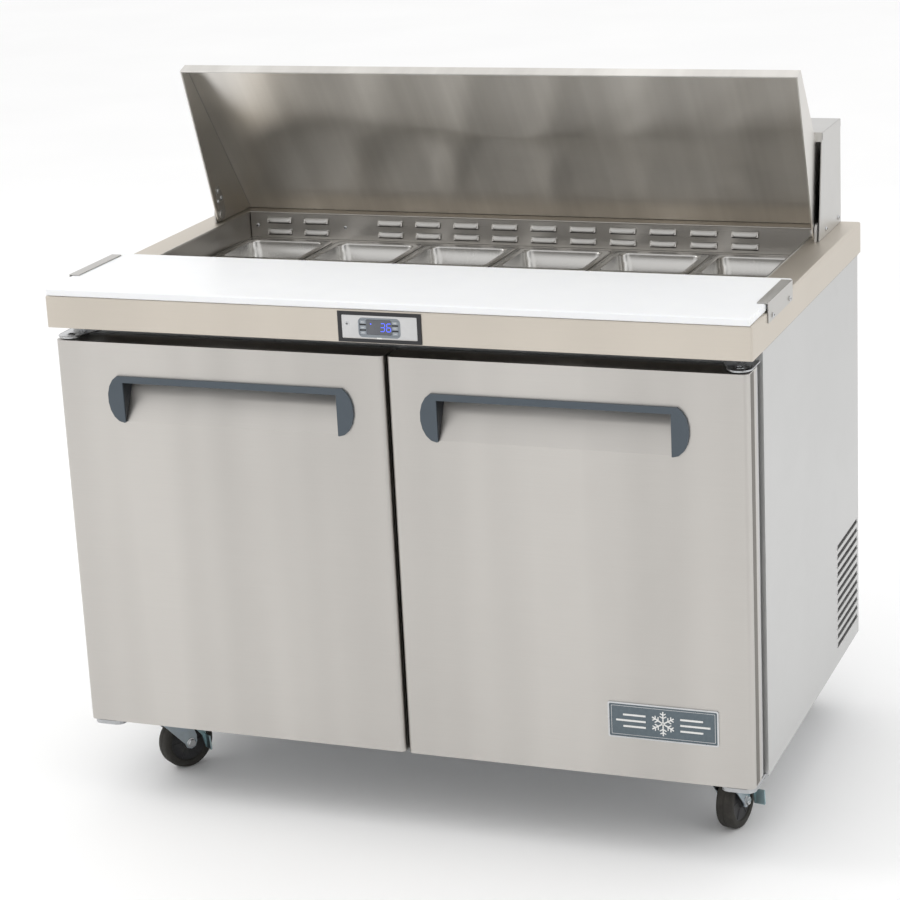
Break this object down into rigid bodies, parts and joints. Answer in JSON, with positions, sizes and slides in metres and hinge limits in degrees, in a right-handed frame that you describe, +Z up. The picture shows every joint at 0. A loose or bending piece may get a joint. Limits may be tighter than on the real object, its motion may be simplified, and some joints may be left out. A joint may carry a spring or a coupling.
{
  "type": "refrigerated sandwich prep table",
  "caption": "Refrigerated sandwich prep table on casters: two-door cold cabinet, folding lid over recessed pans, full-width cutting board and rear-mounted cooling unit.",
  "frame": {"origin": "on the floor, at the middle of the table's plan outline", "axes": "+X to the right seen from the front, +Y towards the rear, +Z up; the doors face -Y"},
  "size_m": [1.2292, 0.762, 1.2226],
  "materials": {
    "worktop_steel": "brushed, warm",
    "body_steel": "brushed",
    "inner_steel": "fine brushed",
    "liner_aluminium": "mill finish",
    "galvanised": "galvanised",
    "door_inner_plastic": "smooth white",
    "slate_plastic": "satin slate grey",
    "board_plastic": "fine matte white",
    "black_plastic": "satin black",
    "key_plastic": "matte grey",
    "gasket_vinyl": "matte dark",
    "caster_tread": "matte black",
    "zinc_plate": "blue zinc plate",
    "black_enamel": "gloss black enamel",
    "fin_aluminium": "bare fins",
    "coated_wire": "pale epoxy coating",
    "fan_plastic": "dark grey"
  },
  "bodies": {
    "cabinet": {"side_panel_left": "body_steel", "side_panel_right": "body_steel", "back_panel": "galvanised", "base_frame": "galvanised", "inner_liner": "liner_aluminium", "worktop": "worktop_steel", "pan_well": "inner_steel", "duct_panel": "inner_steel", "rear_hood": "body_steel", "lid_bracket_left": "body_steel", "lid_bracket_right": "body_steel", "board_bracket_left": "body_steel", "board_bracket_right": "body_steel", "controller": "black_plastic", "hinge_top_left": "galvanised", "hinge_top_right": "galvanised", "compressor": "black_enamel", "condenser": "fin_aluminium", "evaporator": "fin_aluminium", "shelf_left": "coated_wire", "shelf_right": "coated_wire"},
    "condenser_fan": {"condenser_fan": "fan_plastic"},
    "door_left": {"door_left": "body_steel", "door_liner_left": "door_inner_plastic", "door_gasket_left": "gasket_vinyl", "door_handle_left": "slate_plastic"},
    "door_right": {"door_right": "body_steel", "door_liner_right": "door_inner_plastic", "door_gasket_right": "gasket_vinyl", "door_handle_right": "slate_plastic"},
    "lid": {"lid_shell": "body_steel"},
    "cutting_board": {"cutting_board": "board_plastic"},
    "caster_fork_front_left": {"caster_fork_front_left": "zinc_plate"},
    "caster_wheel_front_left": {"caster_wheel_front_left": "caster_tread"},
    "caster_fork_front_right": {"caster_fork_front_right": "zinc_plate"},
    "caster_wheel_front_right": {"caster_wheel_front_right": "caster_tread"},
    "caster_fork_rear_left": {"caster_fork_rear_left": "zinc_plate"},
    "caster_wheel_rear_left": {"caster_wheel_rear_left": "caster_tread"},
    "caster_fork_rear_right": {"caster_fork_rear_right": "zinc_plate"},
    "caster_wheel_rear_right": {"caster_wheel_rear_right": "caster_tread"},
    "caster_pedal_front_left": {"caster_pedal_front_left": "zinc_plate"},
    "caster_pedal_front_right": {"caster_pedal_front_right": "zinc_plate"},
    "pan_front_1": {"pan_front_1": "inner_steel"},
    "pan_front_2": {"pan_front_2": "inner_steel"},
    "pan_front_3": {"pan_front_3": "inner_steel"},
    "pan_front_4": {"pan_front_4": "inner_steel"},
    "pan_front_5": {"pan_front_5": "inner_steel"},
    "pan_front_6": {"pan_front_6": "inner_steel"},
    "pan_rear_1": {"pan_rear_1": "inner_steel"},
    "pan_rear_2": {"pan_rear_2": "inner_steel"},
    "pan_rear_3": {"pan_rear_3": "inner_steel"},
    "pan_rear_4": {"pan_rear_4": "inner_steel"},
    "pan_rear_5": {"pan_rear_5": "inner_steel"},
    "pan_rear_6": {"pan_rear_6": "inner_steel"},
    "key_left_1": {"key_left_1": "key_plastic"},
    "key_left_2": {"key_left_2": "key_plastic"},
    "key_left_3": {"key_left_3": "key_plastic"},
    "key_right_1": {"key_right_1": "key_plastic"},
    "key_right_2": {"key_right_2": "key_plastic"},
    "key_right_3": {"key_right_3": "key_plastic"}
  },
  "joints": [
    {"name": "fan_spin", "type": "hinge", "parent": "cabinet", "child": "condenser_fan", "pos_m": [0.36, 0.281, 0.268], "axis": [1, 0, 0], "continuous": true},
    {"name": "door_left_swing", "type": "hinge", "parent": "cabinet", "child": "door_left", "pos_m": [-0.583, -0.351, 0.4885], "axis": [0, 0, -1], "range_deg": [0, 100]},
    {"name": "door_right_swing", "type": "hinge", "parent": "cabinet", "child": "door_right", "pos_m": [0.583, -0.351, 0.4885], "axis": [0, 0, 1], "range_deg": [0, 100]},
    {"name": "lid_fold", "type": "hinge", "parent": "cabinet", "child": "lid", "pos_m": [0, 0.214, 0.927], "axis": [-1, 0, 0], "range_deg": [-70.5, 0]},
    {"name": "board_slide", "type": "slide", "parent": "cabinet", "child": "cutting_board", "axis": [0, -1, 0], "range_m": [0, 0.155]},
    {"name": "caster_swivel_front_left", "type": "hinge", "parent": "cabinet", "child": "caster_fork_front_left", "pos_m": [-0.52, -0.251, 0.125], "axis": [0, 0, 1], "continuous": true},
    {"name": "caster_roll_front_left", "type": "hinge", "parent": "caster_fork_front_left", "child": "caster_wheel_front_left", "pos_m": [-0.49987, -0.22115, 0.05], "axis": [0.829, -0.5592, 0], "continuous": true},
    {"name": "caster_brake_front_left", "type": "hinge", "parent": "caster_fork_front_left", "child": "caster_pedal_front_left", "pos_m": [-0.48532, -0.23821, 0.098], "axis": [0.829, -0.5592, 0], "range_deg": [0, 18]},
    {"name": "caster_swivel_front_right", "type": "hinge", "parent": "cabinet", "child": "caster_fork_front_right", "pos_m": [0.52, -0.251, 0.125], "axis": [0, 0, 1], "continuous": true},
    {"name": "caster_roll_front_right", "type": "hinge", "parent": "caster_fork_front_right", "child": "caster_wheel_front_right", "pos_m": [0.52625, -0.21555, 0.05], "axis": [0.9848, -0.1736, 0], "continuous": true},
    {"name": "caster_brake_front_right", "type": "hinge", "parent": "caster_fork_front_right", "child": "caster_pedal_front_right", "pos_m": [0.54648, -0.22521, 0.098], "axis": [0.9848, -0.1736, 0], "range_deg": [0, 18]},
    {"name": "caster_swivel_rear_left", "type": "hinge", "parent": "cabinet", "child": "caster_fork_rear_left", "pos_m": [-0.52, 0.274, 0.125], "axis": [0, 0, 1], "continuous": true},
    {"name": "caster_roll_rear_left", "type": "hinge", "parent": "caster_fork_rear_left", "child": "caster_wheel_rear_left", "pos_m": [-0.50887, 0.30824, 0.05], "axis": [0.9511, -0.309, 0], "continuous": true},
    {"name": "caster_swivel_rear_right", "type": "hinge", "parent": "cabinet", "child": "caster_fork_rear_right", "pos_m": [0.52, 0.274, 0.125], "axis": [0, 0, 1], "continuous": true},
    {"name": "caster_roll_rear_right", "type": "hinge", "parent": "caster_fork_rear_right", "child": "caster_wheel_rear_right", "pos_m": [0.51252, 0.30921, 0.05], "axis": [0.9781, 0.2079, 0], "continuous": true},
    {"name": "pan_lift_front_1", "type": "slide", "parent": "cabinet", "child": "pan_front_1", "axis": [0, 0, 1], "range_m": [0, 0.105]},
    {"name": "pan_lift_front_2", "type": "slide", "parent": "cabinet", "child": "pan_front_2", "axis": [0, 0, 1], "range_m": [0, 0.105]},
    {"name": "pan_lift_front_3", "type": "slide", "parent": "cabinet", "child": "pan_front_3", "axis": [0, 0, 1], "range_m": [0, 0.105]},
    {"name": "pan_lift_front_4", "type": "slide", "parent": "cabinet", "child": "pan_front_4", "axis": [0, 0, 1], "range_m": [0, 0.105]},
    {"name": "pan_lift_front_5", "type": "slide", "parent": "cabinet", "child": "pan_front_5", "axis": [0, 0, 1], "range_m": [0, 0.105]},
    {"name": "pan_lift_front_6", "type": "slide", "parent": "cabinet", "child": "pan_front_6", "axis": [0, 0, 1], "range_m": [0, 0.105]},
    {"name": "pan_lift_rear_1", "type": "slide", "parent": "cabinet", "child": "pan_rear_1", "axis": [0, 0, 1], "range_m": [0, 0.044]},
    {"name": "pan_lift_rear_2", "type": "slide", "parent": "cabinet", "child": "pan_rear_2", "axis": [0, 0, 1], "range_m": [0, 0.044]},
    {"name": "pan_lift_rear_3", "type": "slide", "parent": "cabinet", "child": "pan_rear_3", "axis": [0, 0, 1], "range_m": [0, 0.044]},
    {"name": "pan_lift_rear_4", "type": "slide", "parent": "cabinet", "child": "pan_rear_4", "axis": [0, 0, 1], "range_m": [0, 0.044]},
    {"name": "pan_lift_rear_5", "type": "slide", "parent": "cabinet", "child": "pan_rear_5", "axis": [0, 0, 1], "range_m": [0, 0.044]},
    {"name": "pan_lift_rear_6", "type": "slide", "parent": "cabinet", "child": "pan_rear_6", "axis": [0, 0, 1], "range_m": [0, 0.044]},
    {"name": "key_press_left_1", "type": "slide", "parent": "cabinet", "child": "key_left_1", "axis": [0, 1, 0], "range_m": [0, 0.0009], "stiffness_N_per_m": 400},
    {"name": "key_press_left_2", "type": "slide", "parent": "cabinet", "child": "key_left_2", "axis": [0, 1, 0], "range_m": [0, 0.0009], "stiffness_N_per_m": 400},
    {"name": "key_press_left_3", "type": "slide", "parent": "cabinet", "child": "key_left_3", "axis": [0, 1, 0], "range_m": [0, 0.0009], "stiffness_N_per_m": 400},
    {"name": "key_press_right_1", "type": "slide", "parent": "cabinet", "child": "key_right_1", "axis": [0, 1, 0], "range_m": [0, 0.0009], "stiffness_N_per_m": 400},
    {"name": "key_press_right_2", "type": "slide", "parent": "cabinet", "child": "key_right_2", "axis": [0, 1, 0], "range_m": [0, 0.0009], "stiffness_N_per_m": 400},
    {"name": "key_press_right_3", "type": "slide", "parent": "cabinet", "child": "key_right_3", "axis": [0, 1, 0], "range_m": [0, 0.0009], "stiffness_N_per_m": 400}
  ]
}
